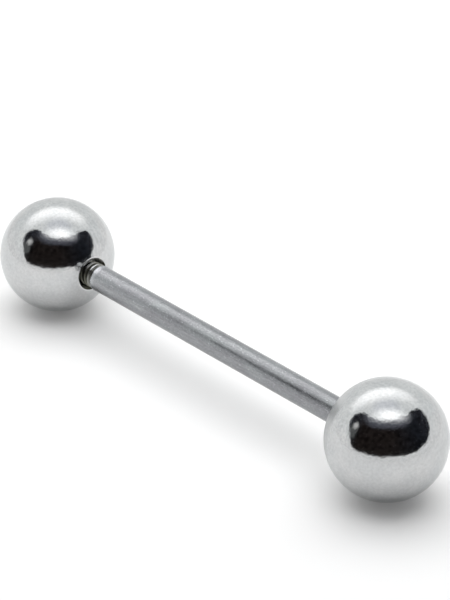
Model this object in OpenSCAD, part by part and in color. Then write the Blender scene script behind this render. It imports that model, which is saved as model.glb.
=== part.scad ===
// Tongue barbell: a straight steel post with a ball screwed on each end.
// It lies along X, centred on X = 0, and its balls rest on the plane Z = 0. Millimetres.

/* [Post] */
// Diameter of the post's plain stretch
post_d = 1.6; // [1.2:0.1:2.4]
// Length of post between the mouths of the two balls, which is how such a bar is measured
bar_l = 22; // [12:0.5:30]
// Bevel at each end of the plain stretch
shoulder_bevel = 0.1; // [0.04:0.01:0.14]

/* [Thread] */
// How far the thread's crests lie inside the post's own surface
thread_undersize = 0.02; // [0:0.01:0.06]
// Distance from one groove to the next
thread_pitch = 0.35; // [0.25:0.05:0.5]
// Depth of a groove
thread_depth = 0.19; // [0.15:0.01:0.25]
// Length of neck and thread that shows at the left ball, which isn't screwed right up
left_shown = 0.58; // [0.4:0.02:1.2]
// The same at the right ball, which is screwed up to the plain stretch
right_shown = 0.1; // [0.06:0.02:0.2]
// Length of the neck between the plain stretch and the first crest
neck_l = 0.18; // [0.1:0.02:0.3]
// Length of each stud, from the plain stretch to its tip
stud_l = 3.38; // [2.5:0.02:3.6]
// Bevel on the tip of each stud
tip_bevel = 0.25; // [0.15:0.05:0.35]

/* [Ball] */
// Diameter of each ball
ball_d = 7; // [5:0.5:9]
// Radial clearance between the stud's crests and those of the ball's thread
thread_clearance = 0.03; // [0.01:0.01:0.08]
// Width of the countersink at the mouth of the hole
countersink_w = 0.22; // [0.1:0.02:0.3]
// Width of the flat lip round the countersink
lip_w = 0.09; // [0.05:0.01:0.2]
// Depth of the hole past the stud's tip
hole_spare = 0.4; // [0.2:0.1:0.8]
// Angle of the drill's point, which shapes the floor of the hole
drill_angle = 118; // [90:2:134]

/* [Hidden] */
$fn = 96;

ball_r = ball_d / 2;
post_r = post_d / 2;

// A thread groove: its floor takes a quarter of the pitch, and its flanks rise to sharp crests
floor_w = thread_pitch / 4;
flank_w = (thread_pitch - floor_w) / 2;

// The studs on the post
stud_r = post_r - thread_undersize;
stud_root_r = stud_r - thread_depth;

// The hole in a ball, whose countersink is as deep as it is wide
hole_r = stud_r + thread_clearance;
hole_root_r = hole_r + thread_depth;
mouth_r = hole_r + countersink_w;
hole_thread_l = stud_l - right_shown;
hole_depth = hole_thread_l + hole_spare;
drill_point = hole_r / tan(drill_angle / 2);

// Cutting the ball flat where it is as wide as the lip leaves the lip
lip_r = mouth_r + lip_w;
lip_from_centre = sqrt(pow(ball_r, 2) - pow(lip_r, 2));
ball_x = bar_l / 2 + lip_from_centre;

polished_steel = [0.8, 0.81, 0.82];
satin_steel = [0.6, 0.61, 0.63];

// As many whole grooves as fit past a crest, as [radius, place along the axis] points
function grooves(from, to, crest_r, root_r) = [
    for (i = [1 : floor((to - from) / thread_pitch)])
        let (middle = from + (i - 0.5) * thread_pitch)
            each [
                [root_r, middle - floor_w / 2],
                [root_r, middle + floor_w / 2],
                [crest_r, middle + floor_w / 2 + flank_w]
            ]
];

// The post's outline from one end of its plain stretch to the tip of the stud there
function stud_outline(plain_end) =
    let (
        first_crest = plain_end + neck_l + flank_w,
        stud_tip = plain_end + stud_l
    )
    concat(
        [
            [post_r, plain_end - shoulder_bevel],
            [post_r - shoulder_bevel, plain_end],
            [stud_root_r, plain_end],
            [stud_root_r, plain_end + neck_l],
            [stud_r, first_crest]
        ],
        grooves(first_crest, stud_tip - tip_bevel, stud_r, stud_root_r),
        [
            [stud_r, stud_tip - tip_bevel],
            [stud_r - tip_bevel, stud_tip],
            [0, stud_tip]
        ]
    );

// An outline turned to face the other way, in the order that closes the polygon
function mirrored(points) = [
    for (i = [len(points) - 1 : -1 : 0]) [points[i][0], -points[i][1]]
];

module post() {
    color(satin_steel)
        translate([0, 0, ball_r])
            rotate([0, 90, 0])
                rotate_extrude()
                    polygon(concat(
                        mirrored(stud_outline(bar_l / 2 - left_shown)),
                        stud_outline(bar_l / 2 - right_shown)
                    ));
}

// What is cut from a ball: its threaded hole, and all above the lip's plane at height 0
module hole() {
    rotate_extrude()
        polygon(concat(
            [
                [0, -hole_depth - drill_point],
                [hole_r, -hole_depth],
                [hole_r, -hole_thread_l]
            ],
            grooves(-hole_thread_l, -countersink_w, hole_r, hole_root_r),
            [
                [hole_r, -countersink_w],
                [mouth_r, 0],
                [ball_r, 0],
                [ball_r, ball_r],
                [0, ball_r]
            ]
        ));
}

// A ball with its centre at the origin and its mouth upwards
module ball() {
    color(polished_steel)
        difference() {
            sphere(r = ball_r);
            translate([0, 0, lip_from_centre]) hole();
        }
}

module ball_left() {
    translate([-ball_x, 0, ball_r]) rotate([0, 90, 0]) ball();
}

module ball_right() {
    translate([ball_x, 0, ball_r]) rotate([0, -90, 0]) ball();
}

post();
ball_left();
ball_right();
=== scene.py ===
# %% [markdown]
# A tongue barbell is three turned pieces of surgical steel: a straight post with a threaded stud at each
# end, and two balls that screw on to the studs. The measured model gives every size and place. This lesson
# gives it the looks: rounded edges, real helical threads, mirror and satin finishes, and a light tent.
# The measured model comes first, because every piece is made from its sizes and moves with its bodies.

# %% Load the measured model
import math

import bpy
import numpy as np
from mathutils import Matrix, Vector


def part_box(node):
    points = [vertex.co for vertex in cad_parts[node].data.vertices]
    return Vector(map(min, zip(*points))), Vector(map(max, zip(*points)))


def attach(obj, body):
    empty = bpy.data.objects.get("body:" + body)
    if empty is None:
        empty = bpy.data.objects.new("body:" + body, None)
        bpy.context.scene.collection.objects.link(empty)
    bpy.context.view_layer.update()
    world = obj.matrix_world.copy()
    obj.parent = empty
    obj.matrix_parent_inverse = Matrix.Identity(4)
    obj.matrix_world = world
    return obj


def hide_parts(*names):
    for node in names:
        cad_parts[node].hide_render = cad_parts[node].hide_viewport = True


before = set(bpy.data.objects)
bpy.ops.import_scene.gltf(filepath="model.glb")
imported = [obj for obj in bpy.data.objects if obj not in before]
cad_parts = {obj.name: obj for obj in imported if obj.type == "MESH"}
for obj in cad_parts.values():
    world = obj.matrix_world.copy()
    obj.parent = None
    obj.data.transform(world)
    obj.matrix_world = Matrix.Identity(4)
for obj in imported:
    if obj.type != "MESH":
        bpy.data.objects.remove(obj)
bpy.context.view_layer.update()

MM = 0.001

# %% [markdown]
# A piece that is made again, finer, has to fit the measured one exactly. So its main sizes aren't typed
# in: the box round each measured piece gives them. A ball's box gives its radius, its centre and the
# place of its mouth, and the post's box gives its radius and the tips of its studs.

# %% Read the main sizes
ball_low, ball_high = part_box("ball_right")
post_low, post_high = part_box("post")
ball_r = (ball_high.z - ball_low.z) / 2
ball_x = ball_high.x - ball_r
mouth_x = ball_low.x
axis_height = (ball_high.z + ball_low.z) / 2
post_r = (post_high.z - post_low.z) / 2
left_tip_x = post_low.x
right_tip_x = post_high.x
main_sizes = {
    "ball radius": ball_r,
    "ball centre": ball_x,
    "mouth": mouth_x,
    "post radius": post_r,
    "left stud tip": left_tip_x,
    "right stud tip": right_tip_x,
}
for name, size in main_sizes.items():
    print(f"{name}: {size / MM:.3f} mm")

# %% [markdown]
# The barbell was photographed from about thirty degrees above the table, a little nearer to one ball, with
# a long lens held close. Its balls differ in size by a tenth in the picture, and that is perspective: it
# fixes how far away the camera stood. A camera is easiest to place on a circle round the object, by the
# angle it looks along, its height angle and its distance, and then aimed at a point by the axis.

# %% Place the camera
CAMERA_AZIMUTH = math.radians(48.05)
CAMERA_ELEVATION = math.radians(29.56)
CAMERA_DISTANCE = 185.9 * MM
FOCAL_LENGTH = 192.0
FRAME_HEIGHT = 36.0
AIM_RIGHT = 0.64 * MM
AIM_UP = 2.46 * MM

towards_camera = Vector((math.sin(CAMERA_AZIMUTH), -math.cos(CAMERA_AZIMUTH), 0))
camera_right = Vector((math.cos(CAMERA_AZIMUTH), math.sin(CAMERA_AZIMUTH), 0))
camera_back = towards_camera * math.cos(CAMERA_ELEVATION) + Vector((0, 0, math.sin(CAMERA_ELEVATION)))
camera_up = camera_back.cross(camera_right)
aim = Vector((0, 0, axis_height)) + camera_right * AIM_RIGHT + camera_up * AIM_UP

camera_data = bpy.data.cameras.new("photo_camera")
camera_data.sensor_fit = "VERTICAL"
camera_data.sensor_height = FRAME_HEIGHT
camera_data.lens = FOCAL_LENGTH
camera_data.clip_start = 1 * MM
camera = bpy.data.objects.new("photo_camera", camera_data)
camera.location = aim + camera_back * CAMERA_DISTANCE
camera.rotation_euler = camera_back.to_track_quat("Z", "Y").to_euler()
bpy.context.scene.collection.objects.link(camera)
bpy.context.scene.camera = camera
print("camera at", [round(x / MM, 1) for x in camera.location], "mm")

# %% [markdown]
# No edge on turned steel is perfectly sharp: the tool and the polishing wheel leave each one a little
# round, and that thin round catches the light. A bevel modifier could round the finished mesh, but it
# would also touch the thread. Rounding the outline before it is turned keeps each edge under control. A
# curve takes up less than half of a short side, so that the curves at its two ends can't meet.

# %% Round the corners of an outline
LARGEST_SHARE = 0.45

def rounded(outline, radius, steps=4):
    """The outline, with a small curve in place of each corner between its first and last points."""
    corners = [Vector(point) for point in outline]
    points = [corners[0]]
    for before, corner, after in zip(corners, corners[1:], corners[2:]):
        shorter_side = min((before - corner).length, (after - corner).length)
        reach = min(radius, shorter_side * LARGEST_SHARE)
        start = corner + (before - corner).normalized() * reach
        end = corner + (after - corner).normalized() * reach
        for step in range(steps + 1):
            t = step / steps
            points.append(start * (1 - t) ** 2 + corner * 2 * t * (1 - t) + end * t ** 2)
    points.append(corners[-1])
    return [tuple(point) for point in points]

square_corner = [(0, 0), (1, 0), (1, 1)]
print("a square corner of 3 points becomes", len(rounded(square_corner, 0.1)), "points")

# %% [markdown]
# Every piece here is turned on a lathe, so every mesh is a stack of rings about one axis. A screw modifier
# could spin an outline, but a helical thread isn't the same all the way round: its groove moves along as it
# goes round. So each row here holds its place along the axis and a radius for each step of the turn, and a
# plain row repeats one radius.

# %% Place the points of a ring
SEGMENTS = 192
TURN_ANGLES = np.arange(SEGMENTS) * 2 * math.pi / SEGMENTS

def plain_row(along, radius):
    """A row with the same radius all the way round."""
    return along, np.full(SEGMENTS, radius)

def ring_points(along, radii):
    """The points of one row, about the line at axis_height."""
    across = radii * np.cos(TURN_ANGLES)
    height = radii * np.sin(TURN_ANGLES) + axis_height
    return zip(np.full(SEGMENTS, along), across, height)

print("a full turn takes", SEGMENTS, "steps of", 360 / SEGMENTS, "degrees")

# %% [markdown]
# Strips of four-sided faces join the rings, and a fan of triangles closes each end on a point. Each strip
# has its own finish, so one closed mesh can be a mirror outside and cut steel inside. Separate shells with
# one finish each would be simpler, but a seam could show where they meet.

# %% Join the rings with faces
def ring_faces(ring_count):
    """The faces of a stack of rings that is closed on a point at each end, one strip after another."""
    following = [(j + 1) % SEGMENTS for j in range(SEGMENTS)]
    faces = [(0, 1 + following[j], 1 + j) for j in range(SEGMENTS)]
    for i in range(ring_count - 1):
        here = 1 + i * SEGMENTS
        there = here + SEGMENTS
        for j in range(SEGMENTS):
            faces.append((here + j, here + following[j], there + following[j], there + j))
    last_ring = 1 + (ring_count - 1) * SEGMENTS
    end_point = last_ring + SEGMENTS
    for j in range(SEGMENTS):
        faces.append((last_ring + j, last_ring + following[j], end_point))
    return faces

print("two rings with their ends closed have", len(ring_faces(2)), "faces")

# %% [markdown]
# The finished mesh has to face outwards, or its metal is lit from the wrong side. Rows that run towards -X
# come out inside out, so those are flipped. Smooth shading hides the facets between the steps of the turn,
# and the edges stay crisp because their small curves have rows of their own.

# %% Turn a solid on the lathe
def turn_solid(name, rows, strip_finishes, finishes):
    """A closed mesh from rows that run from one end to the other, with a single point at each end."""
    first_x = rows[0][0]
    last_x = rows[-1][0]
    rings = rows[1:-1]
    points = [(first_x, 0, axis_height)]
    for along, radii in rings:
        points.extend(ring_points(along, radii))
    points.append((last_x, 0, axis_height))
    faces = ring_faces(len(rings))
    face_finishes = [finish for finish in strip_finishes for j in range(SEGMENTS)]
    mesh = bpy.data.meshes.new(name)
    mesh.from_pydata(points, [], faces)
    for finish in finishes:
        mesh.materials.append(finish)
    mesh.polygons.foreach_set("material_index", face_finishes)
    if first_x > last_x:
        mesh.flip_normals()
    mesh.shade_smooth()
    piece = bpy.data.objects.new(name, mesh)
    bpy.context.scene.collection.objects.link(piece)
    print(f"{name}: {len(rings)} rings, {len(faces)} faces")
    return piece

print("each strip of a turned solid has", SEGMENTS, "faces")

# %% [markdown]
# The studs carry a fine right-hand thread, 1.6 mm by 0.35 mm. Where a crest passes depends on both the
# place along the axis and the angle round it: one turn moves it along by one pitch. The phase turns the
# whole thread, so that its crests pass where the photograph shows them. The groove has a narrow flat floor,
# its flanks rise in a sine curve, and wear has taken the tops off its crests, so that each keeps a narrow
# bright land. Worked out as a height from 0 to 1, the same thread serves the stud and the hole in the ball,
# right-handed at both ends.

# %% Work out the thread
THREAD_PITCH = 0.35 * MM
THREAD_DEPTH = 0.19 * MM
THREAD_UNDERSIZE = 0.02 * MM
GROOVE_FLOOR = 0.25
ROWS_PER_PITCH = 18
THREAD_PHASE = 0.62
CREST_LEFT = 0.62

def thread_height(along):
    """How high the thread stands at each step of the turn, from 0 in the groove to 1 at the crest."""
    turns = along / THREAD_PITCH - TURN_ANGLES / (2 * math.pi) + THREAD_PHASE
    from_groove = np.abs(turns % 1 - 0.5) * 2
    up_the_flank = np.clip((from_groove - GROOVE_FLOOR) / (1 - GROOVE_FLOOR), 0, 1)
    return np.minimum(np.sin(up_the_flank * math.pi / 2), CREST_LEFT) / CREST_LEFT

def smooth_step(value, start, end):
    """0 before start, 1 after end, and a smooth rise between them."""
    t = np.clip((value - start) / (end - start), 0, 1)
    return t * t * (3 - 2 * t)

crest_r = post_r - THREAD_UNDERSIZE
root_r = crest_r - THREAD_DEPTH
print(f"thread crest {crest_r / MM:.2f} mm, root {root_r / MM:.2f} mm")

# %% [markdown]
# A finish is a material made of nodes. Each one here starts from the same few nodes: a metal shader, and
# the piece's own coordinates scaled to millimetres, so that every pattern size below reads as a real size.
# Patterns tied to the piece stay on it when it moves.

# %% Start a steel finish
def steel_finish(name):
    """A new metal material, with the pattern coordinates in millimetres."""
    finish = bpy.data.materials.new(name)
    finish.use_nodes = True
    tree = finish.node_tree
    shader = tree.nodes["Principled BSDF"]
    shader.inputs["Metallic"].default_value = 1.0
    place = tree.nodes.new("ShaderNodeTexCoord")
    in_mm = tree.nodes.new("ShaderNodeVectorMath")
    in_mm.operation = "SCALE"
    in_mm.inputs["Scale"].default_value = 1 / MM
    tree.links.new(place.outputs["Object"], in_mm.inputs[0])
    return finish, tree, shader, in_mm.outputs[0]

def split_place(tree, place):
    """The X, the Y and the Z of each place."""
    split = tree.nodes.new("ShaderNodeSeparateXYZ")
    tree.links.new(place, split.inputs[0])
    return split.outputs

print("one unit of a pattern is a millimetre, so places are multiplied by", 1 / MM)

# %% [markdown]
# A pattern is noise: soft random patches that run from 0 to 1 and mostly stay near the middle. So a range
# reads noise from 0.3 to 0.7, unless it is told otherwise, and turns that into the two numbers it is given,
# such as two roughnesses. A place is read the same way, from one coordinate to another. Arithmetic joins
# them where a finish depends on more than one.

# %% Patterns and ranges
NOISE_LOW = 0.3
NOISE_HIGH = 0.7

def add_noise(tree, place, per_mm, detail, stretch=(1, 1, 1)):
    """Soft random patches, about per_mm of them to a millimetre, stretched along the axes."""
    spread = tree.nodes.new("ShaderNodeVectorMath")
    spread.operation = "MULTIPLY"
    spread.inputs[1].default_value = stretch
    noise = tree.nodes.new("ShaderNodeTexNoise")
    noise.inputs["Scale"].default_value = per_mm
    noise.inputs["Detail"].default_value = detail
    tree.links.new(place, spread.inputs[0])
    tree.links.new(spread.outputs[0], noise.inputs["Vector"])
    return noise.outputs["Fac"]

def add_range(tree, value, low, high, start=NOISE_LOW, end=NOISE_HIGH):
    """The value from start to end, turned into low to high."""
    change = tree.nodes.new("ShaderNodeMapRange")
    change.inputs["From Min"].default_value = start
    change.inputs["From Max"].default_value = end
    change.inputs["To Min"].default_value = low
    change.inputs["To Max"].default_value = high
    tree.links.new(value, change.inputs["Value"])
    return change.outputs["Result"]

def add_math(tree, operation, *values):
    """One step of arithmetic on the values."""
    step = tree.nodes.new("ShaderNodeMath")
    step.operation = operation
    for socket, value in zip(step.inputs, values):
        tree.links.new(value, socket)
    return step.outputs[0]

print("noise is read from", NOISE_LOW, "to", NOISE_HIGH)

# %% [markdown]
# Colour and relief come from the same patterns. A tint runs from one colour to another, a shade makes a
# colour darker or lighter, and a bump turns a pattern into relief. Displacing the mesh would make true
# relief, but polished steel is only microns rough, too little to show at an edge, so a bump does as well.

# %% Colour and relief
MICRON = 1e-6

def add_tint(tree, value, dark, light, start=NOISE_LOW, end=NOISE_HIGH):
    """A colour that runs from dark to light as the value goes from start to end."""
    ramp = tree.nodes.new("ShaderNodeValToRGB")
    ramp.color_ramp.elements[0].position = start
    ramp.color_ramp.elements[0].color = (*dark, 1)
    ramp.color_ramp.elements[1].position = end
    ramp.color_ramp.elements[1].color = (*light, 1)
    tree.links.new(value, ramp.inputs["Fac"])
    return ramp.outputs["Color"]

def add_shade(tree, colour, factor):
    """The colour, made darker or lighter by a factor."""
    shade = tree.nodes.new("ShaderNodeVectorMath")
    shade.operation = "SCALE"
    tree.links.new(colour, shade.inputs[0])
    tree.links.new(factor, shade.inputs["Scale"])
    return shade.outputs[0]

def add_bump(tree, height_map, height, before=None):
    """Relief of that height in metres, on top of any relief that came before it."""
    bump = tree.nodes.new("ShaderNodeBump")
    bump.inputs["Distance"].default_value = height
    tree.links.new(height_map, bump.inputs["Height"])
    if before is not None:
        tree.links.new(before, bump.inputs["Normal"])
    return bump.outputs["Normal"]

print("a ball is", round(2 * ball_r / MICRON), "microns wide, and its relief is a few microns high")

# %% [markdown]
# The balls are mirror polished. Polished stainless steel throws back about six tenths of the light, a
# little less than silver, and its mirror isn't perfect: the wheel leaves faint haze in patches and shallow
# ripples, so that the edges of what it reflects waver. Haze is roughness, and the ripples are low bump.
# Unlike a simple mirror, steel doesn't turn white at its rim: the specular tint keeps the rim grey. The
# right ball is hazier on its side next to the post, where the wheel reaches worst, so all shows soft there.
# A pair of places, as in where the haze fades, is in millimetres from the frame's origin.

# %% Mirror polish for the balls
HAZY_STEEL = (0.520, 0.530, 0.535)
CLEAR_STEEL = (0.578, 0.581, 0.580)
STEEL_RIM = (0.88, 0.89, 0.89, 1)
HAZE_BY_POST = 0.3
HAZE_FADES_ALONG = (12.2, 14)

mirror_polish, tree, shader, place = steel_finish("mirror_polish")
haze = add_noise(tree, place, 0.9, 4)
ripple = add_noise(tree, place, 2.2, 2)
pitting = add_noise(tree, place, 6, 3)
cloudy = add_tint(tree, haze, HAZY_STEEL, CLEAR_STEEL)
mottled = add_shade(tree, cloudy, add_range(tree, pitting, 0.93, 1.07))
tree.links.new(mottled, shader.inputs["Base Color"])
x = split_place(tree, place)["X"]
on_right_ball = add_range(tree, x, 0, 1, 0, 1)
beside_post = add_range(tree, x, HAZE_BY_POST, 0, *HAZE_FADES_ALONG)
less_polished = add_math(tree, "MULTIPLY", on_right_ball, beside_post)
hazy = add_math(tree, "ADD", add_range(tree, haze, 0.07, 0.105), less_polished)
tree.links.new(hazy, shader.inputs["Roughness"])
shader.inputs["Specular Tint"].default_value = STEEL_RIM
rippled = add_bump(tree, ripple, 3 * MICRON)
tree.links.new(add_bump(tree, pitting, 4.5 * MICRON, rippled), shader.inputs["Normal"])
print(mirror_polish.name, "has", len(tree.nodes), "nodes")

# %% [markdown]
# The threads are left as the cutting tool made them. Fine tool marks run round the axis, so the bump there
# is noise stretched round the piece: quick changes along X and slow ones across it. A thread's crests are
# painted lighter than its grooves, a painted highlight on the crests and painted shade in the grooves over a
# little real wear, and what tells them apart is how far they are from the axis: the length of a place's Y
# and Z, counted from the axis.

# %% Tool marks and the distance from the axis
MARK_HEIGHT = 0.8 * MICRON

def add_tool_marks(tree, place):
    """Noise in fine lines that run round the axis."""
    return add_noise(tree, place, 30, 2, stretch=(1, 0.06, 0.06))

def add_distance_from_axis(tree, place):
    """How far each place is from the post's axis, in millimetres."""
    from_axis = tree.nodes.new("ShaderNodeVectorMath")
    from_axis.operation = "SUBTRACT"
    from_axis.inputs[1].default_value = (0, 0, axis_height / MM)
    square_on = tree.nodes.new("ShaderNodeVectorMath")
    square_on.operation = "MULTIPLY"
    square_on.inputs[1].default_value = (0, 1, 1)
    length = tree.nodes.new("ShaderNodeVectorMath")
    length.operation = "LENGTH"
    tree.links.new(place, from_axis.inputs[0])
    tree.links.new(from_axis.outputs[0], square_on.inputs[0])
    tree.links.new(square_on.outputs[0], length.inputs[0])
    return length.outputs["Value"]

print(f"a crest is {crest_r / MM:.2f} mm from the axis, and a groove's floor {root_r / MM:.2f} mm")

# %% [markdown]
# A dull dark colour, old oil together with painted shade, stays in the grooves. Where the left stud shows,
# it covers the crests too, and only on top, on the near side, by the mouth and by the shoulder is it lifted
# to a painted highlight. Towards the shoulder the colour is painted a little lighter. Each of these areas is
# a range of places. Multiplying two ranges keeps what lies in both, and the larger of two keeps what lies in
# either. Dull and dark go together here, because the oil is rough.

# %% Cut finish for the threads
OIL_AND_SHADE = (0.17, 0.17, 0.14)
RUBBED_AND_LIT_STEEL = (0.9, 0.9, 0.9)
SHOULDER_LIGHT = 0.3
CREST_FROM_AXIS = (0.70, 0.78)
TOP_HEIGHTS = (3.9, 4.2)
SHOULDER_END = (10.68, 10.8)
MOUTH_END = (10.85, 10.95)
INSIDE_BALL = (11.2, 11.6)
LIGHTER_TOWARDS_SHOULDER = (-10.8, -10.45)

cut_steel, tree, shader, place = steel_finish("cut_steel")
tool_marks = add_tool_marks(tree, place)
# painted highlight on the crests, painted shade in the grooves
wear_and_highlight = add_range(tree, add_distance_from_axis(tree, place), 0, 1, *CREST_FROM_AXIS)
x, y, z = split_place(tree, place)
from_middle = add_math(tree, "ABSOLUTE", x)
on_top = add_range(tree, z, 0, 1, *TOP_HEIGHTS)
near_side = add_range(tree, y, 1, 0.1, 0, 0.25)
by_shoulder = add_range(tree, from_middle, 1, 0, *SHOULDER_END)
by_mouth = add_range(tree, from_middle, 0, 1, *MOUTH_END)
at_either_end = add_math(tree, "MAXIMUM", by_shoulder, by_mouth)
# painted highlight: lighter on top, on the near side, by the mouth and by the shoulder
lit_top_glints = add_math(tree, "MULTIPLY", add_math(tree, "MULTIPLY", on_top, near_side), at_either_end)
deep_inside = add_range(tree, from_middle, 0, 1, *INSIDE_BALL)
clean_and_lit = add_math(tree, "MAXIMUM", lit_top_glints, deep_inside)
# painted light: lighter towards the shoulder
lighter_by_shoulder = add_range(tree, x, 0, SHOULDER_LIGHT, *LIGHTER_TOWARDS_SHOULDER)
bright = add_math(tree, "MAXIMUM", add_math(tree, "MULTIPLY", wear_and_highlight, clean_and_lit), lighter_by_shoulder)
# dark oil and painted shade, lifted to a painted highlight where the lamps catch it
tree.links.new(add_tint(tree, bright, OIL_AND_SHADE, RUBBED_AND_LIT_STEEL, 0, 1), shader.inputs["Base Color"])
tree.links.new(add_range(tree, clean_and_lit, 0.45, 0.1, 0, 1), shader.inputs["Roughness"])
tree.links.new(add_bump(tree, tool_marks, MARK_HEIGHT), shader.inputs["Normal"])
print(cut_steel.name, "has", len(tree.nodes), "nodes")

# %% [markdown]
# The hole in a ball is drilled and threaded, and its steel is duller than the stud's. It is painted darker
# towards its underside, painted shade with some oil in it, so the height of a place is all that this finish
# needs to know. Its tool marks show in the roughness as well as in the bump.

# %% Cut finish for the hole
SHADED_OILY_STEEL = (0.10, 0.10, 0.08)
DRILLED_STEEL = (0.8, 0.8, 0.8)
SHADE_ENDS_AT_HEIGHT = (3.9, 4.3)

drilled_steel, tree, shader, place = steel_finish("drilled_steel")
tool_marks = add_tool_marks(tree, place)
# painted shade: darker towards the bottom of the hole
clean_and_lit = add_range(tree, split_place(tree, place)["Z"], 0, 1, *SHADE_ENDS_AT_HEIGHT)
tree.links.new(add_tint(tree, clean_and_lit, SHADED_OILY_STEEL, DRILLED_STEEL, 0, 1), shader.inputs["Base Color"])
tree.links.new(add_range(tree, tool_marks, 0.25, 0.4), shader.inputs["Roughness"])
tree.links.new(add_bump(tree, tool_marks, MARK_HEIGHT), shader.inputs["Normal"])
print(drilled_steel.name, "has", len(tree.nodes), "nodes")

# %% [markdown]
# The post is left satin: it was drawn and rubbed lengthwise, so thousands of fine scratches run along it.
# Its colour carries the streaks that can be seen one by one, as noise that changes slowly along X and
# quickly round the post, then an even, finer grain and a few bright specks, worn spots that also stand in
# for small glints. Towards the left ball the colour is painted lighter, a painted highlight, and lightest on
# top of its very end.

# %% Satin colour for the post
SATIN_DARK = (0.250, 0.250, 0.264)
SATIN_LIGHT = (0.300, 0.313, 0.320)
END_LIGHT_ALONG = (-10, -3)
VERY_END = (-10.4, -9.9)
END_TOP_HEIGHTS = (3.95, 4.15)

drawn_satin, tree, shader, place = steel_finish("drawn_satin")
streaks = add_noise(tree, place, 12, 4, stretch=(0.12, 1, 1))
patches = add_noise(tree, place, 1.2, 3, stretch=(0.4, 1, 1))
grain = add_noise(tree, place, 9, 2)
# bright specks: worn spots and painted glints
specks_and_glints = add_noise(tree, place, 16, 0)
post_place = split_place(tree, place)
patchy = add_tint(tree, patches, SATIN_DARK, SATIN_LIGHT)
streaked = add_shade(tree, patchy, add_range(tree, streaks, 0.88, 1.12))
grainy = add_shade(tree, streaked, add_range(tree, grain, 0.90, 1.10))
speckled = add_shade(tree, grainy, add_range(tree, specks_and_glints, 1, 1.8, 0.74, 0.8))
# painted highlight: lighter towards the left end
lit_towards_left_end = add_shade(tree, speckled, add_range(tree, post_place["X"], 1.12, 1, *END_LIGHT_ALONG))
near_left_end = add_range(tree, post_place["X"], 1, 0, *VERY_END)
more_on_top = add_range(tree, post_place["Z"], 0.5, 1, *END_TOP_HEIGHTS)
# painted highlight: lightest on top of the very end
wear_and_highlight = add_range(tree, add_math(tree, "MULTIPLY", near_left_end, more_on_top), 1, 2.7, 0, 1)
tree.links.new(add_shade(tree, lit_towards_left_end, wear_and_highlight), shader.inputs["Base Color"])
print(drawn_satin.name, "has", len(tree.nodes), "nodes for its colour")

# %% [markdown]
# Scratches spread light across their own direction, so reflections smear round the post and stay crisp
# along it. That is anisotropy, with a tangent that runs round the X axis. A rougher shader alone would
# smear them both ways, and the post would look cast. The streaks vary the gloss a little, the end by the
# right ball has stayed a little duller, and a slow waviness of the metal lets the reflections wander.

# %% Satin gloss for the post
DULLER_ALONG = (3, 9)

shader.inputs["Anisotropic"].default_value = 0.6
round_the_post = tree.nodes.new("ShaderNodeTangent")
round_the_post.direction_type = "RADIAL"
round_the_post.axis = "X"
tree.links.new(round_the_post.outputs["Tangent"], shader.inputs["Tangent"])
duller = add_range(tree, post_place["X"], 0, 0.04, *DULLER_ALONG)
dull = add_math(tree, "ADD", add_range(tree, streaks, 0.155, 0.245), duller)
tree.links.new(dull, shader.inputs["Roughness"])
wavy = add_bump(tree, patches, 20 * MICRON)
tree.links.new(add_bump(tree, streaks, 3 * MICRON, wavy), shader.inputs["Normal"])
print(drawn_satin.name, "has", len(tree.nodes), "nodes in all")

# %% [markdown]
# A ball is a sphere with one blind hole. Going over it from its far side, the outline is the sphere, a
# narrow flat lip round the mouth, a 45-degree countersink that guides the stud in, the thread, and the
# cone that the drill left at the bottom. A sphere cut by a Boolean would leave ragged faces round the
# mouth, and turning the whole outline at once gives clean rings that follow it.

# %% Sizes of the hole
THREAD_CLEARANCE = 0.03 * MM
COUNTERSINK = 0.22 * MM
LIP_WIDTH = 0.09 * MM
HOLE_SPARE = 0.4 * MM
DRILL_ANGLE = math.radians(118)
EDGE_ROUND = 0.035 * MM
SPHERE_ROWS = 100

hole_r = crest_r + THREAD_CLEARANCE
mouth_r = hole_r + COUNTERSINK
lip_r = mouth_r + LIP_WIDTH
hole_thread = right_tip_x - mouth_x
hole_depth = hole_thread + HOLE_SPARE
drill_point = hole_r / math.tan(DRILL_ANGLE / 2)
print(f"hole {hole_depth / MM:.2f} mm deep, mouth {2 * mouth_r / MM:.2f} mm wide")

# %% [markdown]
# The two balls are alike but for the side they face, so each part of their outline is worked out once, for
# the ball at +X. The sphere goes by even steps of angle. The thread gets many rows to a pitch, sinks in
# past the countersink and runs out where the tap stopped.

# %% Rows of a ball
def sphere_rows():
    """The rows from the far pole to the edge of the lip."""
    last_angle = math.pi - math.asin(lip_r / ball_r)
    rows = []
    for i in range(SPHERE_ROWS):
        angle = last_angle * i / SPHERE_ROWS
        rows.append(plain_row(ball_x + ball_r * math.cos(angle), ball_r * math.sin(angle)))
    return rows

def mouth_outline(sphere_edge):
    """The lip and the countersink, from the edge of the sphere to the start of the thread."""
    outline = [
        sphere_edge,
        (mouth_x, lip_r),
        (mouth_x, mouth_r),
        (mouth_x + COUNTERSINK, hole_r),
        (mouth_x + COUNTERSINK + EDGE_ROUND, hole_r),
    ]
    return rounded(outline, EDGE_ROUND)[1:-1]

def hole_rows(side):
    """The rows of the thread, and of the cone at the bottom of the hole."""
    row_count = round((hole_depth - COUNTERSINK) / THREAD_PITCH * ROWS_PER_PITCH)
    rows = []
    for i in range(1, row_count):
        depth = COUNTERSINK + (hole_depth - COUNTERSINK) * i / row_count
        along = mouth_x + depth
        cut_in = smooth_step(depth, COUNTERSINK, COUNTERSINK + THREAD_PITCH / 2)
        run_out = 1 - smooth_step(depth, hole_thread, hole_thread + THREAD_PITCH)
        groove = THREAD_DEPTH * thread_height(side * along) * cut_in * run_out
        rows.append((along, hole_r + groove))
    rows.append(plain_row(mouth_x + hole_depth, hole_r))
    rows.append(plain_row(mouth_x + hole_depth + drill_point, 0))
    return rows

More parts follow.
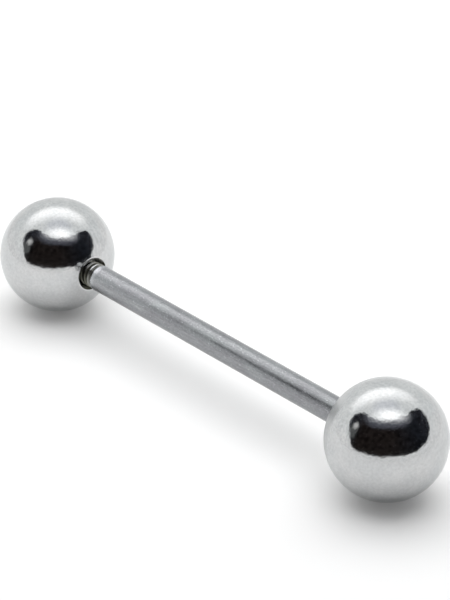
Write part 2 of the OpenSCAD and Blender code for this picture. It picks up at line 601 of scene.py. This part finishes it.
print("a ball has", len(sphere_rows()), "rows on its sphere and", len(hole_rows(1)), "in its hole")

# %% [markdown]
# A ball is mirror down to the inner edge of its lip, and its countersink and hole are cut steel. The finish
# changes on a row, so the line between them is as round as the mouth. A row's side flips its place along
# the axis and leaves its angles alone, which keeps the thread right-handed at both ends.

# %% Turn the two balls
MIRROR = 0
CUT = 1
LIP_EDGE = 0.99

def ball_rows(side):
    """The rows of the ball at +X (side 1) or -X (side -1), and the finish of each strip between rows."""
    rows = sphere_rows()
    sphere_edge = (rows[-1][0], rows[-1][1][0])
    for along, radius in mouth_outline(sphere_edge):
        if radius > mouth_r * LIP_EDGE:
            mirror_strips = len(rows)
        rows.append(plain_row(along, radius))
    rows.extend(hole_rows(side))
    rows = [(side * along, radii) for along, radii in rows]
    strips = len(rows) - 1
    return rows, [MIRROR] * mirror_strips + [CUT] * (strips - mirror_strips)

balls = {}
for node, side in (("ball_left", -1), ("ball_right", 1)):
    rows, strip_finishes = ball_rows(side)
    balls[node] = turn_solid("polished_" + node, rows, strip_finishes, [mirror_polish, drilled_steel])

# %% [markdown]
# The post has a plain satin stretch with a bevelled shoulder at each end. Past the shoulder comes a short
# neck, turned down to the bottom of the thread, where the die could stop, and then the stud. The two ends
# are alike, but the right ball is screwed up to its shoulder and the left one isn't, so a little thread
# shows there.

# %% Sizes of the studs
LEFT_SHOWN = 0.58 * MM
RIGHT_SHOWN = 0.1 * MM
SHOULDER_BEVEL = 0.1 * MM
SHOULDER_ROUND = 0.09 * MM
NECK_LENGTH = 0.18 * MM
BARE_NECK = 0.25
TIP_BEVEL = 0.25 * MM
PLAIN_ROWS = 40

left_end = mouth_x - LEFT_SHOWN
right_end = mouth_x - RIGHT_SHOWN
print(f"plain stretch {(left_end + right_end) / MM:.2f} mm, studs {(-left_tip_x - left_end) / MM:.2f} mm "
      f"and {(right_tip_x - right_end) / MM:.2f} mm")

# %% [markdown]
# Only the first quarter of the neck is bare: from there the thread rises out of it, up to full height at
# the neck's end. A bevel on the stud's tip cuts the thread away again. The lower of thread and bevel is the
# real surface, so the two are made with one minimum, where a Boolean would have to cut every turn.

# %% Rows of a stud
def stud_rows(side, plain_end, tip_x):
    """The rows of the stud at +X (side 1) or -X (side -1), from where its thread starts to its tip."""
    thread_start = plain_end + NECK_LENGTH * BARE_NECK
    neck_end = plain_end + NECK_LENGTH
    row_count = round((tip_x - thread_start) / THREAD_PITCH * ROWS_PER_PITCH)
    rows = []
    for i in range(1, row_count + 1):
        along = thread_start + (tip_x - thread_start) * i / row_count
        cut_in = smooth_step(along, thread_start, neck_end)
        thread = root_r + THREAD_DEPTH * thread_height(side * along) * cut_in
        bevel = crest_r - max(0, along - (tip_x - TIP_BEVEL))
        rows.append((along, np.minimum(thread, bevel)))
    rows.append(plain_row(tip_x, 0))
    return rows

print("the left stud has", len(stud_rows(-1, left_end, -left_tip_x)), "rows")

# %% [markdown]
# The shoulder is where three finishes meet: satin on the post, cut steel in the neck, and between them the
# bevel. The left bevel has been rubbed bright and the right one is still satin. A strip's radius says which
# finish it has. Small curves round the bevel's edges, so it is taken to start and end a little off them.

# %% Turn the post
SATIN = 0
SHOULDER_SHINE = 2
BEVEL_TOP = 0.02
BEVEL_FOOT = 1.2

def shoulder_finish(radius, bevel_finish):
    """The finish of a strip of the shoulder that starts at this radius."""
    if radius >= post_r - SHOULDER_BEVEL * BEVEL_TOP:
        return SATIN
    if radius > post_r - SHOULDER_BEVEL * BEVEL_FOOT:
        return bevel_finish
    return CUT

def half_post_rows(side, plain_end, tip_x, bevel_finish):
    """The rows from the middle of the post to the tip of the stud at +X (side 1) or -X (side -1)."""
    shoulder = [
        (plain_end - 2 * SHOULDER_BEVEL, post_r),
        (plain_end - SHOULDER_BEVEL, post_r),
        (plain_end, post_r - SHOULDER_BEVEL),
        (plain_end, root_r),
        (plain_end + NECK_LENGTH * BARE_NECK, root_r),
    ]
    plain_length = plain_end - 2 * SHOULDER_BEVEL
    rows = [plain_row(plain_length * i / PLAIN_ROWS, post_r) for i in range(1, PLAIN_ROWS)]
    strip_finishes = [SATIN] * len(rows)
    for along, radius in rounded(shoulder, SHOULDER_ROUND):
        rows.append(plain_row(along, radius))
        strip_finishes.append(shoulder_finish(radius, bevel_finish))
    rows.extend(stud_rows(side, plain_end, tip_x))
    rows = [(side * along, radii) for along, radii in rows]
    return rows, strip_finishes + [CUT] * (len(rows) - len(strip_finishes))

left_rows, left_finishes = half_post_rows(-1, left_end, -left_tip_x, SHOULDER_SHINE)
right_rows, right_finishes = half_post_rows(1, right_end, right_tip_x, SATIN)
post_rows = left_rows[::-1] + [plain_row(0, post_r)] + right_rows
post_finishes = left_finishes[::-1] + right_finishes
post = turn_solid("satin_post", post_rows, post_finishes, [drawn_satin, cut_steel, mirror_polish])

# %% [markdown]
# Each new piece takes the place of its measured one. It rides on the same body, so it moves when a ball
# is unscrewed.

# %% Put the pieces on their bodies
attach(post, "post")
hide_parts("post")
for node, ball in balls.items():
    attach(ball, node)
    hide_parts(node)
    print(ball.name, "rides on", node)

# %% [markdown]
# Polished steel has no colour of its own: it shows the room. Small bright jewellery is photographed in a
# light tent of white cloth, with a wide dark opening at the front, where the camera looks in, and a lamp
# above the front and another above the back. Area lights alone would leave black gaps between them in the
# mirror. So the tent is a real dome, and its light is painted on its corners by a formula. The camera
# doesn't see the dome, and the steel does.

# %% Shape the tent
TENT_RADIUS = 200 * MM
TENT_STEP = 1.0

def tent_grid():
    """Each corner of the dome but the top one, as a direction: towards the camera, right and up."""
    around = np.radians(np.arange(-180, 180, TENT_STEP))
    up = np.radians(np.arange(0, 90, TENT_STEP))
    up, around = np.meshgrid(up, around, indexing="ij")
    forward = np.cos(up) * np.cos(around)
    right = np.cos(up) * np.sin(around)
    return np.stack([forward.ravel(), right.ravel(), np.sin(up).ravel()], axis=1)

tent_directions = np.concatenate([tent_grid(), [[0, 0, 1]]])
print("the tent has", len(tent_directions), "corners")

# %% [markdown]
# The opening is a wide slot. Its edges are two short lists of points, angle round the tent against height
# angle, both in degrees: the lower edge lies just above the table, and the upper edge sags and rises as
# cloth does, with small waves in both. Past the ends of the lists the edges meet, and there is no opening.

# %% Cut the opening
OPENING_FOOT = [(-100, 38), (-94, 29), (-72, 11), (-63, 1.4), (-30, 0.4), (0, 1.8), (50, 2.4), (70, 6),
                (90, 15.5), (103, 28), (109, 38)]
OPENING_HEAD = [(-100, 38), (-97, 48), (-90, 56), (-80, 59), (-66, 60), (-50, 64), (60, 62), (74, 55),
                (88, 54), (98, 49), (104, 44), (109, 38)]
EDGE_SOFTNESS = 0.8

def opening_share(around, height):
    """How much of each place is opening: all of it inside the edges, and none outside."""
    wave = 0.6 * np.sin(around / 3.3 + 1) + 0.4 * np.sin(around / 7.1)
    foot = np.interp(around, *zip(*OPENING_FOOT)) + wave
    head = np.interp(around, *zip(*OPENING_HEAD)) + wave / 2
    above_foot = smooth_step(height - foot, -EDGE_SOFTNESS, EDGE_SOFTNESS)
    below_head = smooth_step(head - height, -EDGE_SOFTNESS, EDGE_SOFTNESS)
    within = (around > OPENING_FOOT[0][0]) & (around < OPENING_FOOT[-1][0])
    return above_foot * below_head * within

print("the opening is", OPENING_FOOT[-1][0] - OPENING_FOOT[0][0], "degrees wide")

# %% [markdown]
# Everything in the tent is a patch of light laid over the light behind it, with a soft edge. A patch is a
# rounded oblong, which a power a little above 2 gives: at 2 it would be an oval, and far above 2 a box.
# A lamp is placed on a flat ceiling, by how far across and forward it hangs, counted in heights of the
# ceiling, so that it keeps a lamp's shape.

# %% Lay patches of light
LAMP_ROUNDNESS = 2.2

def blend_light(light, colour, share):
    """The light, with a share of it at each corner replaced by the colour."""
    return light * (1 - share[:, None]) + np.array(colour) * share[:, None]

def patch_share(across, along, centre, half_size, full_to, none_from):
    """How much of a rounded patch shows at each place: all of it in the middle, and none well outside."""
    reach = np.abs((across - centre[0]) / half_size[0]) ** LAMP_ROUNDNESS
    reach += np.abs((along - centre[1]) / half_size[1]) ** LAMP_ROUNDNESS
    return 1 - smooth_step(reach ** (1 / LAMP_ROUNDNESS), full_to, none_from)

middle_edge_outside = patch_share(np.array([0, 1, 2]), np.zeros(3), (0, 0), (1, 1), 0.5, 1.5)
print("a patch in its middle, on its edge and outside it:", middle_edge_outside.round(2))

# %% [markdown]
# Through the opening shows a dark room. It isn't plain black: its colour changes to the sides, and seeded
# random speckle in steps of three degrees stands for the clutter in it. A grey stand is on the left, with a
# glint on it, and the front lamp spills some light round itself.

# %% Paint the dark room
DARK_ROOM = (0.016, 0.013, 0.012)
DARK_CORNER = (0.012, 0.014, 0.018)
ROOM_SIDE = (0.030, 0.032, 0.040)
STAND_GREY = (0.125, 0.13, 0.13)
STAND_GLINT = (0.8, 0.8, 0.79)
LAMP_SPILL = (0.11, 0.115, 0.14)
STAND_AT = (-76, 22)
GLINT_AT = (-76, 34)
SPILL_AT = (0.06, 0.35)
SPECKLE_STEP = 3
SPECKLE_SEED = 7

def room_speckle(around, height):
    """A random factor for each place, the same over each patch of a few degrees."""
    patches_up = 90 // SPECKLE_STEP + 1
    patches_around = 360 // SPECKLE_STEP + 1
    speckle = np.random.default_rng(SPECKLE_SEED).uniform(0.1, 1.9, (patches_up, patches_around))
    patch_up = (height // SPECKLE_STEP).astype(int)
    patch_around = (around // SPECKLE_STEP + 180 // SPECKLE_STEP).astype(int)
    return speckle[patch_up, patch_around][:, None]

def paint_room(around, height, across, along):
    """The light that comes through each place of the opening."""
    room = np.tile(np.array(DARK_ROOM), (len(around), 1))
    room = blend_light(room, DARK_CORNER, smooth_step(around, 0, 70))
    room = blend_light(room, ROOM_SIDE, smooth_step(np.abs(around - 5), 60, 95))
    room = room * room_speckle(around, height)
    room = blend_light(room, STAND_GREY, patch_share(around, height, STAND_AT, (11, 9), 0.7, 1.2))
    room = blend_light(room, STAND_GLINT, patch_share(around, height, GLINT_AT, (9, 7.5), 0.1, 1.1))
    return blend_light(room, LAMP_SPILL, patch_share(across, along, SPILL_AT, (0.75, 0.45), 0.8, 1.3))

print("the room is speckled in patches of", SPECKLE_STEP, "degrees")

# %% [markdown]
# The cloth is painted from the table up: a bright sweep at its foot, cloth with faint wide and narrow folds,
# and a cooler, darker top. The lamp above the back goes on next, then the opening with the room in it, and
# the lamp above the front last, because it hangs in front of the opening's upper edge.

# %% Paint the tent's light
FLOOR_SWEEP = (1.02, 1.02, 1.02)
CLOTH = (0.975, 0.995, 0.995)
ZENITH = (0.88, 0.905, 0.95)
BACK_LAMP = (1.85, 1.85, 1.85)
FRONT_LAMP = (2.1, 2.1, 2.1)
BACK_LAMP_AT = (-0.2, -0.75)
FRONT_LAMP_AT = (0.11, 0.285)
LOWEST_CEILING = 0.05

def paint_tent(directions):
    """The light of each corner of the tent."""
    forward, right, up = directions.T
    around = np.degrees(np.arctan2(right, forward))
    height = np.degrees(np.arcsin(np.clip(up, -1, 1)))
    ceiling = np.maximum(up, LOWEST_CEILING)
    across = right / ceiling
    along = forward / ceiling
    folds = 0.03 * np.sin(around / 5 + height / 9) + 0.02 * np.sin(around / 2.1 - height / 4)
    light = np.tile(np.array(FLOOR_SWEEP), (len(directions), 1))
    light = blend_light(light, CLOTH, smooth_step(height, 0, 20)) * (1 + folds[:, None])
    light = blend_light(light, ZENITH, smooth_step(height, 60, 80))
    light = blend_light(light, BACK_LAMP, patch_share(across, along, BACK_LAMP_AT, (1.0, 0.41), 0.2, 1.6))
    room = paint_room(around, height, across, along)
    light = blend_light(light, room, opening_share(around, height))
    front_lamp = patch_share(across, along, FRONT_LAMP_AT, (1.0, 0.45), 0, 1) ** 2
    return blend_light(light, FRONT_LAMP, front_lamp)

tent_light = paint_tent(tent_directions)
print("light in the tent runs from", tent_light.min().round(3), "to", tent_light.max().round(3))

# %% [markdown]
# The dome is a grid of faces round the barbell, closed at the top by a fan. Its corners turn with the
# camera's side, because the opening faces the camera. The light goes on as a colour for each corner, and
# not as a picture wrapped round it: a corner's colour needs no map, and it may be brighter than white.

# %% Build the tent
def build_tent():
    """The dome as a mesh, with its light kept as a colour at each corner."""
    columns = round(360 / TENT_STEP)
    rows = round(90 / TENT_STEP)
    axes = np.array([towards_camera, camera_right, (0, 0, 1)])
    corners = tent_directions @ axes * TENT_RADIUS
    faces = []
    for i in range(rows - 1):
        here = i * columns
        above = here + columns
        for j in range(columns):
            k = (j + 1) % columns
            faces.append((here + j, here + k, above + k, above + j))
    top = len(corners) - 1
    last_row = (rows - 1) * columns
    for j in range(columns):
        faces.append((last_row + j, last_row + (j + 1) % columns, top))
    mesh = bpy.data.meshes.new("light_tent")
    mesh.from_pydata(corners.tolist(), [], faces)
    glow = mesh.color_attributes.new("glow", "FLOAT_COLOR", "POINT")
    glow.data.foreach_set("color", np.column_stack([tent_light, np.ones(len(tent_light))]).ravel())
    tent = bpy.data.objects.new("light_tent", mesh)
    bpy.context.scene.collection.objects.link(tent)
    return tent

tent = build_tent()
tent.visible_camera = False
print("the tent stands", TENT_RADIUS / MM, "mm round the barbell")

# %% [markdown]
# The cloth glows by itself: its material is only an emission that takes the colour at each corner. The
# steel's rays find it as they bounce off. Sampling it as a lamp as well is switched off, because it is so
# large and even that the bounces alone find it.

# %% Light the cloth
cloth = bpy.data.materials.new("tent_cloth")
cloth.use_nodes = True
cloth.cycles.emission_sampling = "NONE"
nodes = cloth.node_tree.nodes
links = cloth.node_tree.links
nodes.remove(nodes["Principled BSDF"])
glow = nodes.new("ShaderNodeAttribute")
glow.attribute_name = "glow"
shine = nodes.new("ShaderNodeEmission")
links.new(glow.outputs["Color"], shine.inputs["Color"])
links.new(shine.outputs[0], nodes["Material Output"].inputs["Surface"])
tent.data.materials.append(cloth)
print(cloth.name, "has", len(nodes), "nodes")

# %% [markdown]
# The barbell lies on a light table: a sheet of matt white acrylic, lit from below as well as by the tent,
# which keeps the shadow under each ball small and soft. The sheet is one large round face, so wide that its
# rim is far out of the picture.

# %% Lay the floor
FLOOR_RADIUS = 3.0

floor_mesh = bpy.data.meshes.new("white_sheet")
rim = [(FLOOR_RADIUS * math.cos(a), FLOOR_RADIUS * math.sin(a), 0) for a in TURN_ANGLES]
floor_mesh.from_pydata(rim, [], [tuple(range(SEGMENTS))])
floor = bpy.data.objects.new("white_sheet", floor_mesh)
bpy.context.scene.collection.objects.link(floor)
print("the sheet is", 2 * FLOOR_RADIUS, "m wide")

# %% [markdown]
# Close to the barbell, the sheet's material adds an emission, for the light from below, to a diffuse
# shader, which takes the light from above. Further out it fades to an even glow that is as white as the
# backdrop, so that no edge of it shows from any side.

# %% White for the floor
SHEET_WHITE = (0.955, 0.95, 0.945, 1)
SHEET_GLOW = 0.08
SHEET_MATT_TO = 35 * MM
EVEN_GLOW_FROM = 95 * MM

sheet = bpy.data.materials.new("white_sheet")
sheet.use_nodes = True
nodes = sheet.node_tree.nodes
links = sheet.node_tree.links
nodes.remove(nodes["Principled BSDF"])
matt = nodes.new("ShaderNodeBsdfDiffuse")
matt.inputs["Color"].default_value = SHEET_WHITE
from_below = nodes.new("ShaderNodeEmission")
from_below.inputs["Strength"].default_value = SHEET_GLOW
both = nodes.new("ShaderNodeAddShader")
even = nodes.new("ShaderNodeEmission")
where = nodes.new("ShaderNodeNewGeometry")
distance = nodes.new("ShaderNodeVectorMath")
distance.operation = "LENGTH"
fade = nodes.new("ShaderNodeMapRange")
fade.interpolation_type = "SMOOTHSTEP"
fade.inputs["From Min"].default_value = SHEET_MATT_TO
fade.inputs["From Max"].default_value = EVEN_GLOW_FROM
mix = nodes.new("ShaderNodeMixShader")
links.new(where.outputs["Position"], distance.inputs[0])
links.new(distance.outputs["Value"], fade.inputs["Value"])
links.new(fade.outputs["Result"], mix.inputs["Fac"])
links.new(matt.outputs[0], both.inputs[0])
links.new(from_below.outputs[0], both.inputs[1])
links.new(both.outputs[0], mix.inputs[1])
links.new(even.outputs[0], mix.inputs[2])
links.new(mix.outputs[0], nodes["Material Output"].inputs["Surface"])
floor_mesh.materials.append(sheet)
print("the sheet is matt to", SHEET_MATT_TO / MM, "mm")

# %% [markdown]
# A weak round lamp at the top of the tent lifts the sheet to full white. The steel shouldn't show this lamp
# as well as the tent's own two, so its reflections are switched off.

# %% Light the sheet from above
TOP_LAMP_RADIUS = 120 * MM
TOP_LAMP_HEIGHT = 150 * MM
TOP_LAMP_WATTS = 0.11

top_light = bpy.data.lights.new("top_light", "AREA")
top_light.shape = "DISK"
top_light.size = 2 * TOP_LAMP_RADIUS
top_light.energy = TOP_LAMP_WATTS
top_lamp = bpy.data.objects.new("top_light", top_light)
top_lamp.location = (0, 0, TOP_LAMP_HEIGHT)
top_lamp.visible_glossy = False
top_lamp.visible_camera = False
bpy.context.scene.collection.objects.link(top_lamp)
print("the top lamp is", 2 * TOP_LAMP_RADIUS / MM, "mm wide")

# %% [markdown]
# Behind everything is plain white. The view transform is Standard, because the default one would turn the
# white sheet grey and soften the mirror's contrast.

# %% Backdrop and view
backdrop = bpy.data.worlds.new("white_backdrop")
backdrop.use_nodes = True
backdrop.node_tree.nodes["Background"].inputs["Color"].default_value = (1, 1, 1, 1)
bpy.context.scene.world = backdrop
bpy.context.scene.view_settings.view_transform = "Standard"
print("view transform:", bpy.context.scene.view_settings.view_transform)
